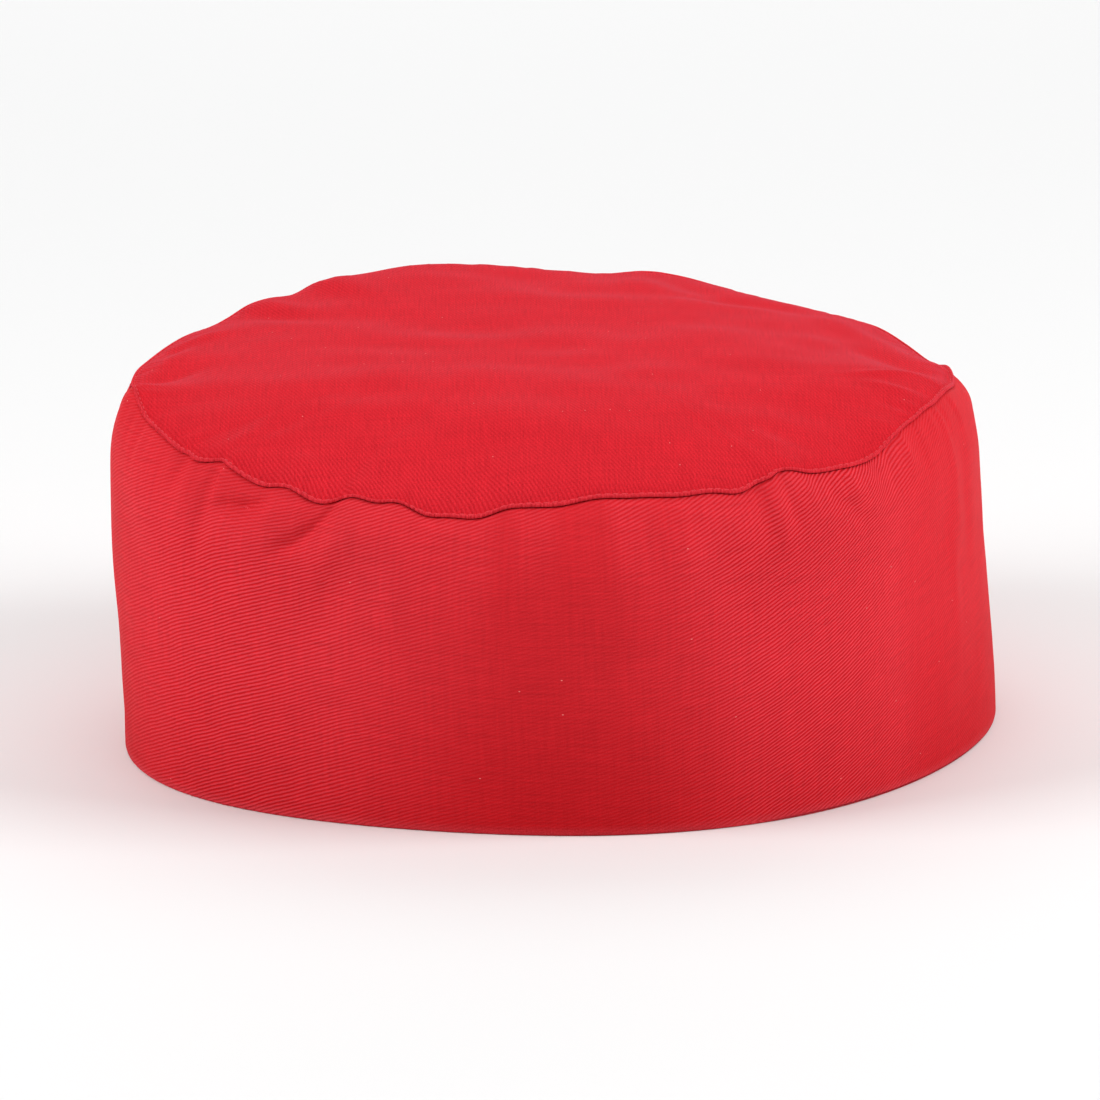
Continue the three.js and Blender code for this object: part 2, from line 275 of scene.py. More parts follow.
def wallOffset(azimuth, z, detail=True):
    top = seamHeight(azimuth)
    swell = stationValue("swell", azimuth)
    rise = np.minimum(z / top / wall["swellShare"], 1)
    arc = wall["shoulderArc"]
    roll = np.clip(1 - (top - z) / wall["shoulder"], 0, 1) * arc
    rollShare = (1 - np.sqrt(1 - roll**2)) / (1 - math.sqrt(1 - arc**2))
    offset = swell * np.sin(np.clip(rise, 0, 1) * math.pi / 2)**2
    offset = offset - (stationValue("inset", azimuth) + swell) * rollShare
    for fold in bandFolds:
        sideways = np.radians(turnBetween(azimuth, fold["azimuth"])) * hem["halfWidth"]
        offset = offset - foldDepth(fold, sideways, top - z - fold["drop"], fold["turn"])
    fromJoin = np.radians(turnBetween(azimuth, bandJoin["azimuth"])) * hem["halfDepth"]
    offset = offset - bandJoin["depth"] * np.exp(-4 * math.log(2) * (fromJoin / bandJoin["width"])**2)
    front = np.exp(-(turnBetween(azimuth, 0) / fine["bellyReach"])**2)
    offset = offset + fine["belly"] * front * np.sin(math.pi * np.clip(z / top, 0, 1))
    if detail:
        x, y = ringWrap(azimuth)
        slantX, slantY = fine["slackSlant"]
        uneven = unevenness(bandSlack, x + slantX * z, y + slantY * z)
        calm = np.clip(z / fine["calmHem"], 0, 1) * np.clip((top - z) / fine["calmSeam"], 0, 1)
        offset = offset + fine["slack"] * uneven * calm
        near = np.exp(-((top - z) / fine["puckerReach"])**2)
        near = near * np.clip((top - z) / fine["gatherStart"], 0, 1)
        offset = offset + fine["pucker"] * gathers(azimuth, fine["seed"] + 2) * near
    return offset


def outlinePoint(azimuth, offset, z):
    share = 1 + sum(lobe["size"] * np.cos(np.radians(lobe["count"] * (azimuth - lobe["toward"])))
                    for lobe in hemLobes)
    x = hem["halfWidth"] * share * np.sin(np.radians(azimuth))
    y = -hem["halfDepth"] * share * np.cos(np.radians(azimuth))
    grow = 1 + offset / np.hypot(x, y)
    return np.stack([x * grow, y * grow, z + 0 * x], -1)


def lipPoint(azimuth):
    top = seamHeight(azimuth)
    return outlinePoint(azimuth, wallOffset(azimuth, top) + lip["overhang"], top + cloth["gap"])


def crownPoint(azimuth, inset=None, share=None, under=0.0):
    start = lipPoint(azimuth)
    radius = np.hypot(start[..., 0], start[..., 1])
    if share is None:
        share = 1 - inset / radius
    inset = (1 - share) * radius
    waves = waveRise(azimuth)
    edge = start[..., 2] + lip["height"] - waves
    beyond = np.maximum(0, inset - lip["slope"])
    settled = 1 - np.exp(-beyond / dome["edgeReach"])
    x, y = start[..., 0] * share, start[..., 1] * share
    started = 1 - np.exp(-(inset / fine["weltReach"])**2)
    z = edge + (dome["height"] - edge) * (1 - share**dome["squareness"]) * started
    z = z + waves * share**dome["waveSquareness"] + dome["edgeRise"] * settled * share * started
    for pucker in crownPuckers:
        z = z - settled * foldDepth(pucker, x - pucker["x"], y - pucker["y"], 90 - pucker["turn"])
    z = z + fine["slack"] * fine["crownSlack"] * unevenness(crownSlack, x, y) * settled
    near = np.exp(-((inset - fine["stitchInset"]) / fine["puckerReach"])**2) * np.clip(inset / 2, 0, 1)
    z = z + fine["crownPucker"] * fine["pucker"] * gathers(azimuth, fine["seed"] + 3) * near
    z = z - fine["channel"] * np.exp(-((inset - fine["stitchInset"]) / fine["channelWidth"])**2)
    roundness = np.clip(1 - inset / lip["slope"], 0, 1)
    z = z - lip["height"] * (1 - np.sqrt(1 - roundness**2)) * (under == 0)
    return np.stack([x, y, z - under], -1)


# Meshes from loops of points

columns = {"count": 720, "front": 78, "frontShare": 0.7}     # closer together round the front


def columnAzimuths():
    here = [-180, -columns["front"], columns["front"], 180]
    behind = (1 - columns["frontShare"]) / 2
    even = np.linspace(0, 1, columns["count"] + 1)
    return np.interp(even, [0, behind, 1 - behind, 1], here)


def loftLoops(name, loops, patterns, crisps, palenessRows, tips=None):
    # loops run from one side of the cloth to the other, patterns are the places on the flat cut,
    # crisps say how far the weave stands out, in bump and painted rib highlight and shade, and
    # palenessRows how pale the cloth is: wear at the hem, and a painted highlight with wear along the
    # crown's lip
    around = loops[0].shape[0] - 1             # the last column repeats the first
    shift = np.array([middle["x"], middle["y"], 0])
    points = [(loop[:-1] - shift) * mm for loop in loops]
    verts = np.concatenate(points)
    i = np.arange(around)
    j = (i + 1) % around
    pairs = [(k, k + 1) for k in range(len(loops) - 1)]
    if tips is None:
        pairs.append((len(loops) - 1, 0))
    faces, flat = [], []
    for a, b in pairs:
        faces.append(np.stack([a * around + i, a * around + j, b * around + j, b * around + i], -1))
        flat.append(np.stack([patterns[a][i], patterns[a][i + 1], patterns[b][i + 1], patterns[b][i]], 1))
    quads = np.concatenate(faces)
    quadFlat = np.concatenate(flat).reshape(-1, 2)
    triangles, triangleFlat = np.zeros((0, 3), int), np.zeros((0, 2))
    if tips is not None:
        low, high = len(verts), len(verts) + 1
        verts = np.concatenate([verts, [(np.array(t) - shift) * mm for t in tips]])
        last = (len(loops) - 1) * around
        triangles = np.concatenate([np.stack([j, i, 0 * i + low], -1),
                                    np.stack([last + i, last + j, 0 * i + high], -1)])
        centre = np.zeros((around, 2))
        triangleFlat = np.concatenate([
            np.stack([patterns[0][i + 1], patterns[0][i], centre], 1),
            np.stack([patterns[-1][i], patterns[-1][i + 1], centre], 1)]).reshape(-1, 2)
    mesh = bpy.data.meshes.new(name)
    mesh.from_pydata(verts.tolist(), [], quads.tolist() + triangles.tolist())
    layer = mesh.uv_layers.new(name="cloth")
    layer.data.foreach_set("uv", (np.concatenate([quadFlat, triangleFlat]) * mm).ravel())
    for attribute, values in (("crisp", crisps), ("paleness", palenessRows)):
        ends = [values[0][0], values[-1][0]] if tips is not None else []
        every = np.concatenate([row[:-1] for row in values] + [ends])
        mesh.attributes.new(attribute, "FLOAT", "POINT").data.foreach_set("value", every)
    mesh.polygons.foreach_set("use_smooth", [True] * len(mesh.polygons))
    mesh.update()
    piece = bpy.data.objects.new(name, mesh)
    bpy.context.collection.objects.link(piece)
    return piece


# Where the weave stands out, with its bump and its painted highlight on the crests and painted shade in
# the grooves: faint over the front's middle, crisp on both sides of it
bandRibLight = rows("azimuth crisp atSeam reach", [
    (-180, 0.5, 0.4, 6), (-76, 0.25, 0.25, 6), (-66, 0.8, 0.6, 10), (-58, 1.05, 0.55, 13),
    (-50, 1.3, 0.5, 14), (-42, 1.3, 0.55, 14), (-34, 1.15, 0.7, 9), (-24, 0.85, 0.8, 7),
    (-16, 0.5, 0.75, 12), (-10, 0.2, 0.65, 14), (-7, 0.1, 0.25, 10), (-4.5, 0.07, 0.55, 12),
    (-1.5, 0.05, 0.55, 12), (1, 0.07, 0.2, 8), (5.5, 0.15, 0.25, 8), (8, 0.25, 0.75, 14),
    (11, 0.4, 0.7, 14), (13.5, 0.55, 0.5, 10), (18, 0.85, 0.8, 6), (23, 1.15, 0.8, 6),
    (28, 1.25, 0.6, 6), (34, 1.4, 1.1, 8), (40, 1.35, 1.4, 8), (46, 1.05, 1.2, 10),
    (52, 0.6, 0.9, 12), (58, 0.4, 0.4, 8), (75, 0.3, 0.3, 6), (180, 0.5, 0.4, 6),
])


def valueAt(azimuth, table, column):          # straight between the rows of a table
    return np.interp(azimuth, [row["azimuth"] for row in table], [row[column] for row in table])


ribLightSpread = {
    "start": 15,              # mm below the seam, where the faint part starts to widen
    "run": 50,                # mm further down, where it is widest
    "share": 0.3,             # how much wider it is there
    "reach": 32,              # degrees from the front
    "crisper": 0.2,           # how much crisper the belt round the start is
    "belt": 9,                # mm
}


def bandCrisp(azimuth, down):
    lower = np.clip((down - ribLightSpread["start"]) / ribLightSpread["run"], 0, 1)
    widen = ribLightSpread["share"] * lower * np.exp(-(azimuth / ribLightSpread["reach"])**2)
    crisp = valueAt(azimuth * (1 - widen), bandRibLight, "crisp")
    atSeam = np.exp(-(down / valueAt(azimuth, bandRibLight, "reach"))**2)
    crisp = crisp + (valueAt(azimuth, bandRibLight, "atSeam") - crisp) * atSeam
    inBelt = np.exp(-((down - ribLightSpread["start"]) / ribLightSpread["belt"])**2)
    return crisp * (1 + ribLightSpread["crisper"] * inBelt)


# How the weave lies: its slope beside the band's own, and places where the folds turn it
weaveLean = rows("azimuth slope", [
    (-180, 0),
    (-30, 0),
    (-10, -0.02),
    (5, -0.02),
    (18, 0.07),
    (35, 0.16),
    (48, 0.2),
    (70, 0.1),
    (180, 0),
])

weaveTurns = rows("azimuth drop turn reach", [
    (-43, 1, -9, 17),
    (48, -1, 22, 8),
])


# Side band

bandLook = {
    "lowRows": 20,            # rows below the folds
    "highRows": 66,           # rows through the folds up to the seam
    "foldsFrom": 0.5,         # share of the height where the close rows start
    "insideRows": 22,
    "hemRound": 0.62,         # mm, the fold at the hem
    "foldShare": 0.35,        # of the length that folds add to the weave, the rest is drawn flat
    "rawRise": 0.12,          # mm, how far the raw top rounds up
    "slopeReach": 0.5,        # mm, over which the wall's slope is measured
    "rubHeight": 0.3,         # mm above the floor, where the hem is palest
    "palenessReach": 0.8,
    "insideDown": 30,         # mm below the seam, whose weave the inside takes
}


def weavePlace(azimuth, along, climbed, top):  # the place on the flat cut of each point of a row
    slope = valueAt(azimuth, weaveLean, "slope")
    steps = (slope[1:] + slope[:-1]) / 2 * np.diff(along)
    lean = np.concatenate([[0], np.cumsum(steps)])
    x, y = along, climbed
    for spot in weaveTurns:
        aside = x - np.interp(spot["azimuth"], azimuth, along)
        above = y - (np.interp(spot["azimuth"], azimuth, top) - spot["drop"])
        turn = -np.radians(spot["turn"]) * np.exp(-(aside**2 + above**2) / spot["reach"]**2)
        x, y = (x + aside * (np.cos(turn) - 1) - above * np.sin(turn),
                y + aside * np.sin(turn) + above * (np.cos(turn) - 1))
    return np.stack([x, y - lean], -1)


def bandSlope(azimuth, z):
    reach = bandLook["slopeReach"]
    return (wallOffset(azimuth, z, False) - wallOffset(azimuth, z - reach, False)) / reach


def makeSideBand():
    look = bandLook
    azimuth = columnAzimuths()
    run = outlinePoint(azimuth, 0 * azimuth, 0 * azimuth)
    steps = np.hypot(*np.diff(run[:, :2], axis=0).T)
    along = np.concatenate([[0], np.cumsum(steps)])
    along = along - np.interp(0, azimuth, along)
    top = seamHeight(azimuth)
    loops, patterns = [], []
    shares = np.concatenate([np.linspace(0, look["foldsFrom"], look["lowRows"], endpoint=False),
                             np.linspace(look["foldsFrom"], 1, look["highRows"])])
    low = look["hemRound"]
    rises = [low + (top - low) * share for share in shares]
    profile = [wallOffset(azimuth, z) for z in rises]
    climb = [0 * azimuth + low]
    for k in range(1, len(shares)):
        rise = rises[k] - rises[k - 1]
        extra = np.hypot(profile[k] - profile[k - 1], rise) - rise
        climb.append(climb[-1] + rise + look["foldShare"] * extra)
    crisps = []
    for offset, z, climbed in zip(profile, rises, climb):
        loops.append(outlinePoint(azimuth, offset, z))
        patterns.append(weavePlace(azimuth, along, climbed, climb[-1]))
        crisps.append(bandCrisp(azimuth, top - z))
    for turn in (60, 120):                     # round the raw top, which the lip covers
        z = top + look["rawRise"] * math.sin(math.radians(turn))
        slope = bandSlope(azimuth, top)
        depth = cloth["band"] * (0.5 - 0.5 * math.cos(math.radians(turn)))
        square = np.hypot(1, slope)
        offset = wallOffset(azimuth, top) - depth / square
        loops.append(outlinePoint(azimuth, offset, z + depth * slope / square))
        patterns.append(np.stack([along, z], -1))
    for share in np.linspace(1, 0, look["insideRows"]):
        z = low + (top - low) * share
        slope = bandSlope(azimuth, z)
        square = np.hypot(1, slope)
        inner = wallOffset(azimuth, z) - cloth["band"] / square
        raised = np.maximum(low, z + cloth["band"] * slope / square)
        loops.append(outlinePoint(azimuth, inner, raised))
        patterns.append(np.stack([along, -z], -1))
    for turn in (30, 60, 90, 120, 150):        # the fold at the hem
        middleOffset = wallOffset(azimuth, low + 0 * azimuth) - cloth["band"] / 2
        offset = middleOffset - cloth["band"] / 2 * math.cos(math.radians(turn))
        z = low - low * math.sin(math.radians(turn))
        loops.append(outlinePoint(azimuth, offset, z + 0 * azimuth))
        patterns.append(np.stack([along, z + 0 * azimuth], -1))
    crisps += [bandCrisp(azimuth, look["insideDown"])] * (len(loops) - len(crisps))
    palenessRows = [np.exp(-((loop[:, 2] - look["rubHeight"]) / look["palenessReach"])**2) for loop in loops]
    return loftLoops("side_band_cloth", loops, patterns, crisps, palenessRows)


# Crown

crownLook = {
    "edgeInsets": [0, 0.03, 0.08, 0.16, 0.28, 0.42, 0.56, 0.72, 0.9, 1.08, 1.26,
                   1.5, 1.8, 2.2, 2.6, 3.1, 3.7, 4.4, 5.2, 6],
    "topRows": 58,
    "topShares": (0.925, 0.02),        # of the way out from the middle, first and last row
    "underRows": 26,
    "underShares": (0.05, 0.88),
    "turnedInsets": [6, 4],   # mm, after the turned edge's own width
    "stepWidth": 1.2,         # mm, over which the turned edge ends
    "ribContrast": 0.22,              # how far the weave, with its painted rib highlight and shade, stands out away from the edge
    "edgeRibLight": 0.6,
    "ribLightReach": 14,           # mm, how far in from the edge the weave stays crisp
    "paleness": 0.6,               # how pale the lip is at most: a painted highlight along its crest, and wear
    "palenessInset": 0.3,          # mm, where that is
    "palenessReach": 0.35,         # mm
}

# The underside of the lip, in from its edge and above the band's top
lipUnder = rows("inset rise", [
    (2.2, 0.4),
    (1.2, 0.3),
    (0.7, 0.2),
    (0.45, 0.13),
    (0.28, 0.14),
    (0.13, 0.22),
    (0.04, 0.35),
])

# Where the crown's ribs carry more painted highlight and shade near its edge, along with their bump
crownRibLight = rows("azimuth crisp", [
    (-180, 0.1), (-60, 0.1), (-45, 0.3), (-38, 0.55), (-26, 0.55), (-18, 0.45), (-5, 0.35), (5, 0.2),
    (20, 0.3), (26, 0.4), (34, 0.15), (180, 0.1),
])


def makeCrown():
    look = crownLook
    azimuth = columnAzimuths()
    radius = np.hypot(*lipPoint(azimuth)[:, :2].T)
    loops = []
    for share in np.linspace(*look["underShares"], look["underRows"]):
        loops.append(crownPoint(azimuth, share=share, under=cloth["crown"]))
    turnedEnd = cloth["turnedWidth"]
    loops.append(crownPoint(azimuth, inset=turnedEnd + look["stepWidth"], under=cloth["crown"]))
    for inset in [turnedEnd] + look["turnedInsets"]:
        loops.append(crownPoint(azimuth, inset=inset, under=cloth["turned"]))
    top = seamHeight(azimuth)
    offset = wallOffset(azimuth, top) + lip["overhang"]
    for row in lipUnder:
        loops.append(outlinePoint(azimuth, offset - row["inset"], top + row["rise"]))
    for inset in look["edgeInsets"]:
        loops.append(crownPoint(azimuth, inset=inset))
    for share in np.linspace(*look["topShares"], look["topRows"]):
        loops.append(crownPoint(azimuth, share=share))
    patterns = [loop[:, :2] for loop in loops]
    edgeRibLight = valueAt(azimuth, crownRibLight, "crisp")
    crisps, palenessRows = [], []
    for loop in loops:
        inset = radius - np.hypot(loop[:, 0], loop[:, 1])
        crisps.append(look["ribContrast"] + look["edgeRibLight"] * edgeRibLight * np.exp(-(inset / look["ribLightReach"])**2))
        palenessRows.append(look["paleness"] * np.exp(-((inset - look["palenessInset"]) / look["palenessReach"])**2))
    front = np.array(0.0)
    tips = [crownPoint(front, share=0.0, under=cloth["crown"]), crownPoint(front, share=0.0)]
    return loftLoops("crown_cloth", loops, patterns, crisps, palenessRows, tips)


# Stitches that follow the crown's edge

stitchLook = {
    "pitch": 1.85,            # mm, from one stitch to the next
    "length": 1.35,
    "width": 0.3,
    "height": 0.24,
    "sway": 0.05,             # mm, how far a stitch strays
    "besideWidth": 1.2,       # mm to each side, to find which way is up
    "aheadStep": 0.4,         # degrees before and after, for the same
}


def seamPath(inset):
    width, step = stitchLook["besideWidth"], stitchLook["aheadStep"]
    azimuth = np.linspace(-180, 180, columns["count"], endpoint=False)
    here = crownPoint(azimuth, inset=inset)
    aside = crownPoint(azimuth, inset=inset + width) - crownPoint(azimuth, inset=inset - width)
    ahead = crownPoint(azimuth + step, inset=inset) - crownPoint(azimuth - step, inset=inset)
    up = np.cross(ahead, aside)
    up /= np.linalg.norm(up, axis=1)[:, None]
    return here, up


def stitchTree():
    tree = bpy.data.node_groups.new("stitch run", "GeometryNodeTree")
    face = tree.interface
    face.new_socket("Geometry", in_out="INPUT", socket_type="NodeSocketGeometry")
    for name in ("Pitch", "Length", "Width", "Height", "Sway"):
        face.new_socket(name, in_out="INPUT", socket_type="NodeSocketFloat")
    face.new_socket("Thread", in_out="INPUT", socket_type="NodeSocketMaterial")
    face.new_socket("Geometry", in_out="OUTPUT", socket_type="NodeSocketGeometry")
    given = tree.nodes.new("NodeGroupInput")
    ready = tree.nodes.new("NodeGroupOutput")

    def add(kind, settings=None, sockets=None):
        node = tree.nodes.new(kind)
        for key, value in (settings or {}).items():
            setattr(node, key, value)
        for key, value in (sockets or {}).items():
            if isinstance(value, bpy.types.NodeSocket):
                tree.links.new(value, node.inputs[key])
            else:
                node.inputs[key].default_value = value
        return node

    line = add("GeometryNodeMeshToCurve", sockets={"Mesh": given.outputs["Geometry"]})
    spaced = add("GeometryNodeResampleCurve", {"mode": "LENGTH"},
                 {"Curve": line.outputs[0], "Length": given.outputs["Pitch"]})
    up = add("GeometryNodeInputNamedAttribute", {"data_type": "FLOAT_VECTOR"}, {"Name": "up"})
    ahead = add("GeometryNodeInputTangent")
    turned = add("FunctionNodeAlignRotationToVector", {"axis": "X"}, {"Vector": ahead.outputs[0]})
    upright = add("FunctionNodeAlignRotationToVector", {"axis": "Z", "pivot_axis": "X"},
                  {"Rotation": turned.outputs[0], "Vector": up.outputs[0]})
    bead = add("GeometryNodeMeshUVSphere", sockets={"Segments": 8, "Rings": 5, "Radius": 0.5})
    size = add("ShaderNodeCombineXYZ", sockets={
        "X": given.outputs["Length"], "Y": given.outputs["Width"], "Z": given.outputs["Height"]})
    thread = add("GeometryNodeTransform", sockets={"Geometry": bead.outputs[0], "Scale": size.outputs[0]})
    stray = add("FunctionNodeRandomValue", {"data_type": "FLOAT_VECTOR"}, {"Seed": 11})
    stray.inputs[0].default_value = (-1, -1, -1)
    stray.inputs[1].default_value = (1, 1, 1)
    strayed = add("ShaderNodeVectorMath", {"operation": "SCALE"},
                  {0: stray.outputs[0], "Scale": given.outputs["Sway"]})
    placed = add("GeometryNodeSetPosition", sockets={
        "Geometry": spaced.outputs[0], "Offset": strayed.outputs[0]})
    sewn = add("GeometryNodeInstanceOnPoints", sockets={
        "Points": placed.outputs[0], "Instance": thread.outputs[0], "Rotation": upright.outputs[0]})
    real = add("GeometryNodeRealizeInstances", sockets={0: sewn.outputs[0]})
    smooth = add("GeometryNodeSetShadeSmooth", sockets={0: real.outputs[0]})
    final = add("GeometryNodeSetMaterial", sockets={
        "Geometry": smooth.outputs[0], "Material": given.outputs["Thread"]})
    tree.links.new(final.outputs[0], ready.inputs[0])
    return tree


def plainMesh(source, name):                   # what the modifiers make, as a mesh of its own
    seen = source.evaluated_get(bpy.context.evaluated_depsgraph_get())
    mesh = bpy.data.meshes.new_from_object(seen)
    mesh.name = name
    piece = bpy.data.objects.new(name, mesh)
    bpy.context.collection.objects.link(piece)
    source.modifiers.clear()
    bpy.data.objects.remove(source)
    return piece


def sewAlong(name, path, up, thread, look):
    count = len(path)
    mesh = bpy.data.meshes.new(name + " path")
    shift = np.array([middle["x"], middle["y"], 0])
    verts = (path - shift) * mm
    mesh.from_pydata(verts.tolist(), [(k, (k + 1) % count) for k in range(count)], [])
    mesh.attributes.new("up", "FLOAT_VECTOR", "POINT").data.foreach_set("vector", up.ravel())
    source = bpy.data.objects.new(name + " path", mesh)
    bpy.context.collection.objects.link(source)
    sewing = source.modifiers.new("stitches", "NODES")
    sewing.node_group = stitchTree()
    values = {"Thread": thread}
    for size in ("pitch", "length", "width", "height", "sway"):
        values[size.title()] = look[size] * mm
    for item in sewing.node_group.interface.items_tree:
        if item.item_type == "SOCKET" and item.in_out == "INPUT" and item.name in values:
            sewing[item.identifier] = values[item.name]
    return plainMesh(source, name)


# Materials

class Wire:                                    # a socket that can be reckoned with
    def __init__(self, tree, socket=None):
        self.tree = tree
        self.socket = socket

    def node(self, kind, settings=None, sockets=None, out=0):
        made = self.tree.nodes.new(kind)
        for key, value in (settings or {}).items():
            setattr(made, key, value)
        for key, value in (sockets or {}).items():
            if isinstance(value, Wire):
                self.tree.links.new(value.socket, made.inputs[key])
            else:
                made.inputs[key].default_value = value
        return Wire(self.tree, made.outputs[out])

    def noise(self, place, scale, detail):
        sockets = {"Vector": place, "Scale": scale, "Detail": detail}
        return self.node("ShaderNodeTexNoise", sockets=sockets)

    def reckon(self, operation, a, b=0.0):
        return self.node("ShaderNodeMath", {"operation": operation}, {0: a, 1: b})

    def __add__(self, other):
        return self.reckon("ADD", self, other)

    def __radd__(self, other):
        return self.reckon("ADD", other, self)

    def __sub__(self, other):
        return self.reckon("SUBTRACT", self, other)

    def __rsub__(self, other):
        return self.reckon("SUBTRACT", other, self)

    def __mul__(self, other):
        return self.reckon("MULTIPLY", self, other)

    def __truediv__(self, other):
        return self.reckon("DIVIDE", self, other)

    def __pow__(self, other):
        return self.reckon("POWER", self, other)

    def wave(self):                            # 0 to 1 and back once in each whole step
        return self.reckon("COSINE", self * (2 * math.pi)) * 0.5 + 0.5

    def limited(self):
        return self.node("ShaderNodeClamp", sockets={0: self})

    def blend(self, first, second):            # the colour first where this is 0, second where it is 1
        made = self.tree.nodes.new("ShaderNodeMix")
        made.data_type = "RGBA"
        self.tree.links.new(self.socket, made.inputs[0])
        for socket, colour in ((made.inputs[6], first), (made.inputs[7], second)):
            if isinstance(colour, Wire):
                self.tree.links.new(colour.socket, socket)
            else:
                socket.default_value = colour
        return Wire(self.tree, made.outputs[2])


twill = {
    "endPitch": 0.2115,       # mm from one warp end to the next
    "ribDepth": 0.2,          # mm
    "hemPaintedShade": 0.11,        # painted shade: how much darker the cloth is drawn toward the hem, as the photograph shows it
    "hemPaintedShadeHeight": 36.0,  # mm, where it ends
    "patch": 0.05,            # slow change of the dye
    # pale colour for wear at the hem and for the painted highlight with wear along the crown's lip
    "paled": (0.84, 0.10, 0.13, 1),
    "lintSize": 0.24,         # mm
    "lintSpacing": 9.0,       # mm
    "lintLook": (0.95, 0.45, 0.42, 1),
    "drift": 1.6,             # mm, slow wander of the ribs
    "driftScale": 0.05,       # each mm, as the scales below
    "jitter": 0.22,           # mm, quick wander of the ribs
    "jitterScale": 0.6,
    "endScale": (0.09, 2.4, 1.0),      # along and across the warp, for its own yarns
    "pickScale": (1.1, 0.07, 1.0),     # the same, for the yarns of the weft
    "patchScale": 0.022,
    "grainScale": 3.0,
    "sheenTint": (1, 0.6, 0.95, 1),
}

# The crest colour is a painted highlight on each rib and the groove colour painted shade between the ribs
bandTwillLook = {
    "crest": (0.815, 0.056, 0.077, 1),
    "groove": (0.665, 0.008, 0.013, 1),
    "ribPitch": 0.77,         # mm
    "ribTurn": 20,            # degrees
    "warpTurn": 0,
    "speckle": 0.24,
    "lint": 0.05,             # share of the places that hold a speck
    "slub": 0.16,
    "specular": 0.02,
    "roughness": 0.6,
    "sheen": 0.005,
    "sheenRoughness": 0.4,
    "faintPaintedShade": 0.105,     # painted shade: how much darker the cloth is drawn where the weave is faint, over the front's middle
}

# The same painted highlight on the crests and painted shade in the grooves, for the crown
crownTwillLook = {
    "crest": (0.745, 0.030, 0.046, 1),
    "groove": (0.54, 0.0085, 0.0155, 1),
    "ribPitch": 0.82,
    "ribTurn": 25.4,
    "warpTurn": 90,
    "speckle": 0.9,
    "lint": 0.12,
    "slub": 0.2,
    "specular": 0.02,
    "roughness": 0.8,
    "sheen": 0.1,
    "sheenRoughness": 0.22,
    "faintPaintedShade": 0,
}


def startMaterial(name):
    material = bpy.data.materials.new(name)
    material.use_nodes = True
    tree = material.node_tree
    shader = next(n for n in tree.nodes if n.type == "BSDF_PRINCIPLED")
    return material, Wire(tree), shader


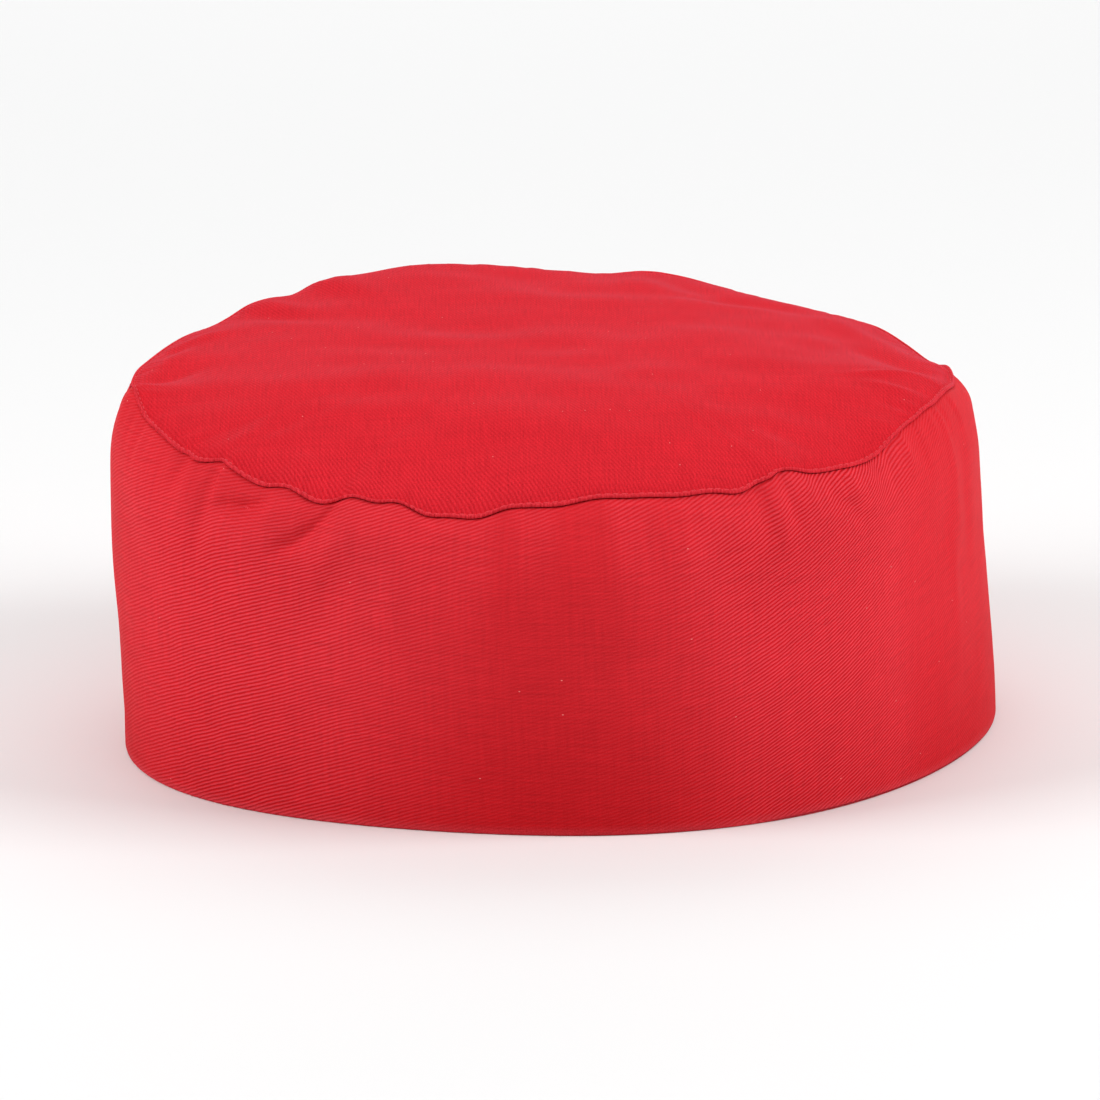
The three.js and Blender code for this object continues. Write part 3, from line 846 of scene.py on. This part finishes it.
def twillCloth(name, twillLook):
    material, start, shader = startMaterial(name)
    place = start.node("ShaderNodeUVMap", {"uv_map": "cloth"})
    grain = start.node("ShaderNodeVectorRotate", {"rotation_type": "Z_AXIS"},
                       {"Vector": place, "Angle": -math.radians(twillLook["warpTurn"])})
    flat = start.node("ShaderNodeVectorMath", {"operation": "SCALE"}, {0: grain, "Scale": 1 / mm})
    split = flat.node("ShaderNodeSeparateXYZ", sockets={0: flat})
    warp = split
    weft = Wire(split.tree, split.socket.node.outputs[1])

    # the ribs wander a little
    drift = start.noise(flat, twill["driftScale"], 2)
    jitter = start.noise(flat, twill["jitterScale"], 1)
    across = weft + (drift - 0.5) * twill["drift"] + (jitter - 0.5) * twill["jitter"]
    turn = math.radians(twillLook["ribTurn"])    # from the warp
    rib = ((across * math.cos(turn) - warp * math.sin(turn)) / twillLook["ribPitch"]).wave()
    end = (across / twill["endPitch"]).wave()

    # each yarn is a little thicker or paler for about a centimetre
    stretched = start.node("ShaderNodeVectorMath", {"operation": "MULTIPLY"},
                           {0: flat, 1: twill["endScale"]})
    slub = start.noise(stretched, 1, 2)
    cross = start.node("ShaderNodeVectorMath", {"operation": "MULTIPLY"},
                       {0: flat, 1: twill["pickScale"]})
    pick = start.noise(cross, 1, 2)
    patch = start.noise(flat, twill["patchScale"], 3)
    grainy = start.noise(flat, twill["grainScale"], 2)

    ridge = rib ** 0.8
    crisp = start.node("ShaderNodeAttribute", {"attribute_name": "crisp"}, out=2)
    tone = 1 + (slub - 0.5) * (2.0 * twillLook["slub"]) + (pick - 0.5) * twillLook["slub"]
    faint = 1 - crisp.limited()
    above = start.node("ShaderNodeTexCoord", out=3)
    tall = start.node("ShaderNodeSeparateXYZ", sockets={0: above}, out=2)
    nearHemShade = (1 - tall * (1 / mm / twill["hemPaintedShadeHeight"])).limited()
    flatTone = 0.56 - nearHemShade * 0.16 - faint * 0.29       # between the painted crest and groove, 0 to 1, lowered by painted shade toward the hem and where the weave is faint
    tone = tone + (patch - 0.5) * (2 * twill["patch"]) + (grainy - 0.5) * twillLook["speckle"]
    # painted shade: darker where the weave is faint and toward the hem
    tone = tone - faint * twillLook["faintPaintedShade"]
    tone = tone - nearHemShade * twill["hemPaintedShade"]
    # the rib and warp-end waves paint highlight on the crests and shade in the grooves, as strongly as
    # crisp says
    weave = (ridge * 0.86 + end * 0.08 - 0.52) * (crisp * 0.92 + 0.08) + flatTone
    ribLitAndShaded = weave.limited().blend(twillLook["groove"], twillLook["crest"])
    # paleness: wear at the hem, and a painted highlight with wear along the crown's lip
    paleness = start.node("ShaderNodeAttribute", {"attribute_name": "paleness"}, out=2)
    paled = (paleness * (grainy * 0.8 - 0.1)).limited().blend(ribLitAndShaded, twill["paled"])
    shaded = start.node("ShaderNodeVectorMath", {"operation": "SCALE"}, {0: paled, "Scale": tone})

    # a few pale specks of lint
    longer = start.node("ShaderNodeVectorMath", {"operation": "MULTIPLY"}, {0: flat, 1: (1.0, 1.7, 1.0)})
    cells = start.node("ShaderNodeTexVoronoi", {"feature": "F1", "voronoi_dimensions": "2D"},
                       {"Vector": longer, "Scale": 1 / twill["lintSpacing"]})
    chosen = Wire(cells.tree, cells.socket.node.outputs["Color"])
    near = start.node("ShaderNodeMapRange", sockets={
        "Value": cells, "From Min": twill["lintSize"] / twill["lintSpacing"],
        "From Max": 0.5 * twill["lintSize"] / twill["lintSpacing"]})
    picked = start.node("ShaderNodeSeparateColor", sockets={0: chosen})
    keep = start.node("ShaderNodeMath", {"operation": "LESS_THAN"}, {0: picked, 1: twillLook["lint"]})
    speck = near * keep * grainy
    coloured = speck.blend(shaded, twill["lintLook"])

    height = (ridge * 0.7 + end * 0.1) * (crisp * 0.84 + 0.16)
    height = height + (slub - 0.5) * 0.3 + (grainy - 0.5) * 0.25
    bump = start.node("ShaderNodeBump", sockets={
        "Strength": 1.0, "Distance": twill["ribDepth"] * mm, "Height": height})
    start.tree.links.new(coloured.socket, shader.inputs["Base Color"])
    start.tree.links.new(bump.socket, shader.inputs["Normal"])
    shader.inputs["Roughness"].default_value = twillLook["roughness"]
    shader.inputs["Specular IOR Level"].default_value = twillLook["specular"]
    shader.inputs["Sheen Weight"].default_value = twillLook["sheen"]
    shader.inputs["Sheen Roughness"].default_value = twillLook["sheenRoughness"]
    shader.inputs["Sheen Tint"].default_value = twill["sheenTint"]
    return material


threadLook = {
    "colour": (0.85, 0.085, 0.11, 1),
    "plyShade": (0.6, 0.03, 0.04, 1),
    "plyPitch": 0.22,         # mm
    "plyDepth": 0.04,         # mm
    "plySlant": (0.7, 1.3),   # toward y and z
    "roughness": 0.7,
    "specular": 0.1,
}


def threadMaterial(name):
    material, start, shader = startMaterial(name)
    place = start.node("ShaderNodeTexCoord", out=3)
    scaled = start.node("ShaderNodeVectorMath", {"operation": "SCALE"}, {0: place, "Scale": 1 / mm})
    split = start.node("ShaderNodeSeparateXYZ", sockets={0: scaled})
    y = Wire(split.tree, split.socket.node.outputs[1])
    z = Wire(split.tree, split.socket.node.outputs[2])
    towardY, towardZ = threadLook["plySlant"]
    ply = ((split + y * towardY + z * towardZ) / threadLook["plyPitch"]).wave()
    # painted shade in the grooves between the plies
    colour = ply.blend(threadLook["plyShade"], threadLook["colour"])
    bump = start.node("ShaderNodeBump", sockets={
        "Strength": 0.6, "Distance": threadLook["plyDepth"] * mm, "Height": ply})
    start.tree.links.new(colour.socket, shader.inputs["Base Color"])
    start.tree.links.new(bump.socket, shader.inputs["Normal"])
    shader.inputs["Roughness"].default_value = threadLook["roughness"]
    shader.inputs["Specular IOR Level"].default_value = threadLook["specular"]
    return material


# Making the pieces

bandCloth = makeSideBand()
bandCloth.data.materials.append(twillCloth("band twill", bandTwillLook))
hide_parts("side_band")
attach(bandCloth, "root")
print("side band:", len(bandCloth.data.polygons), "faces")

crownCloth = makeCrown()
crownCloth.data.materials.append(twillCloth("crown twill", crownTwillLook))
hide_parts("crown")
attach(crownCloth, "root")
print("crown:", len(crownCloth.data.polygons), "faces")

thread = threadMaterial("sewing thread")
path, up = seamPath(fine["stitchInset"])
crownStitches = sewAlong("crown_stitches", path, up, thread, stitchLook)
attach(crownStitches, "root")
print("stitches:", len(crownStitches.data.polygons), "faces")


# Floor, camera and light

view = {
    "elevation": 14.0,        # degrees
    "roll": 1.33,
    "distance": 2.0,          # m
    "pixelsPerMm": 4.535,     # at that distance, in the 1100 px frame
    "aimHeight": 40,          # mm
    "aimPixel": (557.8, 543.4),
    "framePixels": 1100,
    "sensor": 36.0,
}


def makeCamera():
    lens = view["pixelsPerMm"] * view["distance"] / mm / view["framePixels"] * view["sensor"]
    data = bpy.data.cameras.new("camera")
    data.sensor_width = view["sensor"]
    data.lens = lens
    data.clip_start, data.clip_end = 0.05, 20
    camera = bpy.data.objects.new("camera", data)
    bpy.context.collection.objects.link(camera)
    tilt = math.radians(view["elevation"])
    back = Vector((0, -math.cos(tilt), math.sin(tilt)))
    roll = math.radians(view["roll"])
    level = Vector((1, 0, 0))
    raised = back.cross(level)
    right = level * math.cos(roll) - raised * math.sin(roll)
    above = raised * math.cos(roll) + level * math.sin(roll)
    half = view["framePixels"] / 2
    left = (view["aimPixel"][0] - half) / view["pixelsPerMm"] * mm
    down = (view["aimPixel"][1] - half) / view["pixelsPerMm"] * mm
    centre = Vector((-middle["x"], -middle["y"], view["aimHeight"])) * mm
    aim = centre - right * left + above * down
    turn = Matrix((right, above, back)).transposed()
    camera.matrix_world = Matrix.Translation(aim + back * view["distance"]) @ turn.to_4x4()
    bpy.context.scene.camera = camera


def softLight(name, place, aim, size, watts):
    data = bpy.data.lights.new(name, "AREA")
    data.shape = "RECTANGLE"
    data.size, data.size_y = size
    data.energy = watts
    light = bpy.data.objects.new(name, data)
    light.location = place
    light.rotation_euler = (Vector(aim) - Vector(place)).to_track_quat("-Z", "Y").to_euler()
    bpy.context.collection.objects.link(light)


studio = {
    "world": 0.3,
    "floor": (0.84, 0.84, 0.84, 1),
    "floorReach": 6,          # m
}

capMiddle = (0, 0, 0.045)                      # m, as all places of the lights
lights = rows("name place aim size watts", [
    ("left box", (-1.1, -0.33, 0.82), capMiddle, (0.7, 0.7), 10.0),
    ("right box", (1.1, -0.33, 0.82), capMiddle, (0.7, 0.7), 11.4),
    ("top box", (0, -0.55, 1.1), capMiddle, (1.0, 0.8), 2.3),
    ("back box", (0, 1.1, 1.3), (0, 0.9, 0), (2.0, 1.0), 8),
    ("rim box", (0, 1.6, 0.5), capMiddle, (2.2, 0.5), 6),
])


def makeFloor():
    reach = studio["floorReach"]
    corners = [(-reach, -reach, 0), (reach, -reach, 0), (reach, reach, 0), (-reach, reach, 0)]
    mesh = bpy.data.meshes.new("floor")
    mesh.from_pydata(corners, [], [(0, 1, 2, 3)])
    floor = bpy.data.objects.new("floor", mesh)
    bpy.context.collection.objects.link(floor)
    material, start, shader = startMaterial("pale floor")
    shader.inputs["Base Color"].default_value = studio["floor"]
    shader.inputs["Roughness"].default_value = 0.9
    mesh.materials.append(material)


makeFloor()
makeCamera()
for light in lights:
    softLight(**light)

world = bpy.data.worlds.new("studio")
world.use_nodes = True
world.node_tree.nodes["Background"].inputs[0].default_value = (1, 1, 1, 1)
world.node_tree.nodes["Background"].inputs[1].default_value = studio["world"]
bpy.context.scene.world = world
bpy.context.scene.view_settings.view_transform = "Standard"
print("studio ready")
